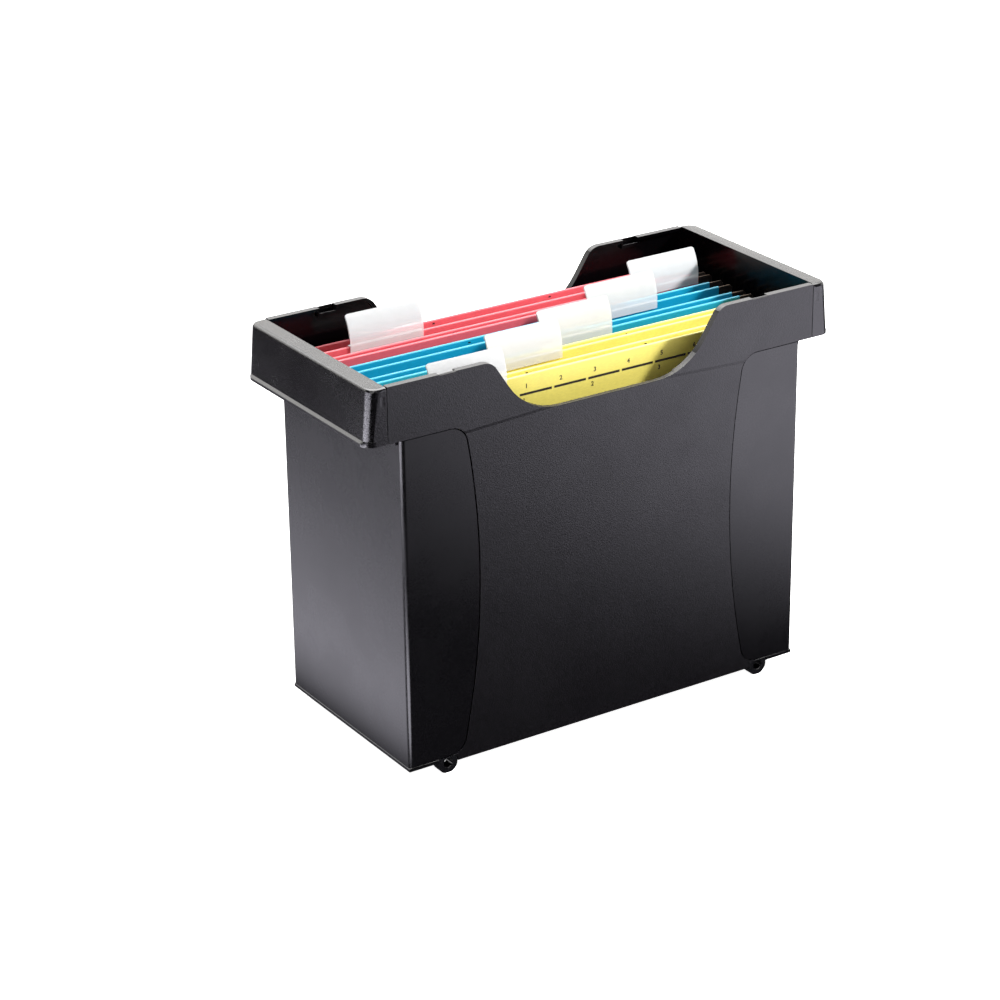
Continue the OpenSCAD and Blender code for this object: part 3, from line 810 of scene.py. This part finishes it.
floor = stagePlane("floor", studio["reach"], 0)
floor.visible_glossy = False
floorMaterial, tree, shader = newMaterial("pale_floor")
shader.inputs["Base Color"].default_value = (studio["floorTone"],) * 3 + (1,)
shader.inputs["Roughness"].default_value = 0.9
shader.inputs["Specular IOR Level"].default_value = 0.0
shader.inputs["Emission Color"].default_value = (1, 1, 1, 1)
lightPath = addNode(tree, "ShaderNodeLightPath")
lift = maths(tree, "MULTIPLY", lightPath.outputs["Is Camera Ray"], studio["floorLift"])
tree.links.new(lift, shader.inputs["Emission Strength"])
floor.data.materials.append(floorMaterial)

# What the gloss on the box mirrors below the horizon: its own shade in front, a lit table to the left.
# Front and left are lists of (distance, brightness) along their lines. An area is (level, fades), and each
# fade is its start, its direction, and the distances along it at which it begins and ends.
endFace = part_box("base_tray")[1].x
table = {
    "tint": (0.98, 0.955, 1.08, 1), "height": -0.002,
    "front": [(0.0, 0.06), (0.03, 0.04), (0.1, 0.02), (0.19, 0.1), (0.27, 0.45), (0.35, 1.05), (0.42, 1.9),
              (0.5, 2.9)],
    "frontLine": ((0, -0.081), (0.9, -0.44)),
    "left": [(0.0, 0.04), (0.016, 0.35), (0.035, 1.5), (0.06, 2.1), (0.14, 1.35), (0.24, 0.58), (0.3, 0.3),
             (0.4, 0.1), (0.55, 0.05)],
    "leftLine": ((-endFace, 0), (-1, 0)),
    # a shade far in front, a light strip that the right-hand corners mirror, and a patch on the left
    "farShade": (0.9, [((0, 0), (0, -1), 0.53, 0.62), ((0, 0), (1, 0), 0.5, 0.2)]),
    "rightStrip": (2.0, [((endFace, 0), (1, 0), 0.0, 0.12), ((0, 0), (0, 1), -0.1, 0.1)]),
    "leftPatch": (0.9, [((0, 0), (0, 1), 0.61, 0.5), ((-endFace, 0), (-1, 0), 0.31, 0.38)]),
    # where the left side takes over from the front
    "toLeft": (1.0, [((-endFace, -0.08), (0.174, 0.985), -0.02, 0.03)]),
    # mirrored by the upright edge of the left end wall
    "edgeGlow": (7.0, [((-0.175, 0), (-1, 0), 0.0, 0.02), ((-0.4, 0), (-1, 0), 0.02, -0.04),
                       ((0, -0.1), (0, -1), 0.0, 0.03), ((0, -0.27), (0, -1), 0.02, -0.03)]),
    # mirrored by the upright corner of the left cap: a piece of a ring, between two angles
    "corner": {"at": (-0.185, -0.08, 0), "level": 18.0, "angles": ((1.0, 1.2), (2.3, 2.0)),
               "reach": ((0.58, 0.66), (1.2, 1.0))},
}


def alongFloor(tree, start, direction):
    # distance of a floor point from the start, measured along the direction
    coords = addNode(tree, "ShaderNodeTexCoord").outputs["Object"]
    dot = addNode(tree, "ShaderNodeVectorMath", {0: coords, 1: (*direction, 0)}, operation="DOT_PRODUCT")
    return maths(tree, "SUBTRACT", dot.outputs["Value"], start[0] * direction[0] + start[1] * direction[1])


def softStep(tree, value, low, high):
    return remap(tree, value, low, high, 0.0, 1.0, smooth=True)


def levels(tree, value, stops):
    # brightness read off a list of (distance, level)
    reach, top = stops[-1][0], max(level for _, level in stops)
    shade = ramp(tree, remap(tree, value, 0, reach, 0, 1), [(d / reach, (v / top,) * 3) for d, v in stops])
    return maths(tree, "MULTIPLY", shade, top)


def area(tree, level, fades):
    # a part of the table with soft edges
    for start, direction, low, high in fades:
        level = maths(tree, "MULTIPLY", softStep(tree, alongFloor(tree, start, direction), low, high), level)
    return level


def cornerGlow(tree, corner):
    coords = addNode(tree, "ShaderNodeTexCoord").outputs["Object"]
    reach = addNode(tree, "ShaderNodeVectorMath", {0: corner["at"], 1: coords}, operation="SUBTRACT")
    away = reach.outputs[0]
    split = addNode(tree, "ShaderNodeSeparateXYZ", {0: away}).outputs
    angle = maths(tree, "ARCTAN2", split[0], split[1])
    far = addNode(tree, "ShaderNodeVectorMath", {0: away}, operation="LENGTH").outputs["Value"]
    level = corner["level"]
    for value, edges in ((angle, corner["angles"]), (far, corner["reach"])):
        for low, high in edges:
            level = maths(tree, "MULTIPLY", softStep(tree, value, low, high), level)
    return level


glow = stagePlane("reflected_table", studio["reach"], table["height"])
for ray in ("camera", "diffuse", "transmission", "shadow", "volume_scatter"):
    setattr(glow, "visible_" + ray, False)
glowMaterial = bpy.data.materials.new("reflected_table")
glowMaterial.use_nodes = True
tree = glowMaterial.node_tree
tree.nodes.clear()
front = levels(tree, alongFloor(tree, *table["frontLine"]), table["front"])
front = maths(tree, "MULTIPLY", front, maths(tree, "SUBTRACT", 1.0, area(tree, *table["farShade"])))
front = maths(tree, "ADD", front, area(tree, *table["rightStrip"]))
left = levels(tree, alongFloor(tree, *table["leftLine"]), table["left"])
left = maths(tree, "ADD", left, area(tree, *table["leftPatch"]))
sides = addNode(tree, "ShaderNodeMix", {0: area(tree, *table["toLeft"]), 2: front, 3: left}).outputs[0]
spots = maths(tree, "ADD", cornerGlow(tree, table["corner"]), area(tree, *table["edgeGlow"]))
emission = addNode(tree, "ShaderNodeEmission", {"Color": table["tint"],
                                                "Strength": maths(tree, "ADD", sides, spots)})
addNode(tree, "ShaderNodeOutputMaterial", {"Surface": emission.outputs[0]})
glow.data.materials.append(glowMaterial)

lights = {
    "topBack": {"at": (0.5, 1.0, 1.7), "aim": (0, 0, 0.2), "size": (1.6, 1.2), "power": 26, "mirrored": True},
    "frontRight": {"at": (1.84, -0.95, 1.47), "aim": (0, 0, 0.25), "size": (0.25, 0.25), "power": 110,
                   "mirrored": False},
}
for name, settings in lights.items():
    data = bpy.data.lights.new(name, "AREA")
    data.shape = "RECTANGLE"
    data.size, data.size_y = settings["size"]
    data.energy = settings["power"]
    lamp = newPiece(name, data)
    lamp.visible_glossy = settings["mirrored"]
    lamp.location = settings["at"]
    ahead = Vector(settings["aim"]) - Vector(settings["at"])
    lamp.rotation_euler = ahead.to_track_quat("-Z", "Y").to_euler()

world = bpy.data.worlds.new("studio")
scene.world = world
world.use_nodes = True
tree = world.node_tree
tree.nodes.clear()
direction = addNode(tree, "ShaderNodeTexCoord").outputs["Generated"]
upward = addNode(tree, "ShaderNodeSeparateXYZ", {0: direction}).outputs[2]


def towards(tree, target):
    dot = addNode(tree, "ShaderNodeVectorMath", {0: direction, 1: target}, operation="DOT_PRODUCT")
    return dot.outputs["Value"]


# the wall behind the box is the brightest thing that the flanges mirror, and fades upwards
behind = remap(tree, towards(tree, studio["wallAt"]), *studio["wallFrom"], 0.0, 1.0)
height = remap(tree, upward, 0.0, studio["wallTop"][0], 1.0, studio["wallTop"][1])
wall = maths(tree, "MULTIPLY", maths(tree, "MULTIPLY", behind, height), studio["wall"])
# a soft light overhead that only the rounded upper edges mirror
overhead = remap(tree, upward, *studio["ceilingFrom"], 0.0, 1.0, smooth=True)
ceiling = maths(tree, "MULTIPLY", overhead, studio["ceiling"])
# and a strip light behind on the left
leftBack = remap(tree, towards(tree, studio["stripAt"]), *studio["stripFrom"], 0.0, 1.0)
strip = maths(tree, "MULTIPLY", leftBack, studio["strip"])
wall = maths(tree, "ADD", wall, studio["wallBase"])
mirrored = maths(tree, "ADD", wall, maths(tree, "ADD", ceiling, strip))
lightPath = addNode(tree, "ShaderNodeLightPath")
glossy = addNode(tree, "ShaderNodeMix", {0: lightPath.outputs["Is Glossy Ray"], 2: studio["fill"],
                                         3: mirrored})
seen = addNode(tree, "ShaderNodeMix", {0: lightPath.outputs["Is Camera Ray"], 2: glossy.outputs[0], 3: 1.0})
background = addNode(tree, "ShaderNodeBackground", {"Color": studio["tint"], "Strength": seen.outputs[0]})
addNode(tree, "ShaderNodeOutputWorld", {"Surface": background.outputs[0]})

view = {
    "azimuth": -32.862, "elevation": 23.324, "roll": -0.714, "focal": 3038.389, "distance": 2.193896,
    "target": (-0.02657, 0.017165, 0.145616), "frame": 1000, "sensor": 36, "clip": (0.1, 50),
}
azimuth, elevation, roll = (math.radians(view[k]) for k in ("azimuth", "elevation", "roll"))
level = math.cos(elevation)
back = Vector((math.sin(azimuth) * level, -math.cos(azimuth) * level, math.sin(elevation)))
right = (-back).cross(Vector((0, 0, 1))).normalized()
up = right.cross(-back)
rightRolled = math.cos(roll) * right + math.sin(roll) * up
upRolled = -math.sin(roll) * right + math.cos(roll) * up
turn = Matrix((rightRolled, upRolled, back)).transposed().to_4x4()
cameraData = bpy.data.cameras.new("camera")
cameraData.sensor_width = view["sensor"]
cameraData.lens = view["focal"] * view["sensor"] / view["frame"]
cameraData.clip_start, cameraData.clip_end = view["clip"]
camera = newPiece("camera", cameraData)
camera.matrix_world = Matrix.Translation(Vector(view["target"]) + back * view["distance"]) @ turn
scene.camera = camera
scene.view_settings.view_transform = "Standard"
print("scene ready")
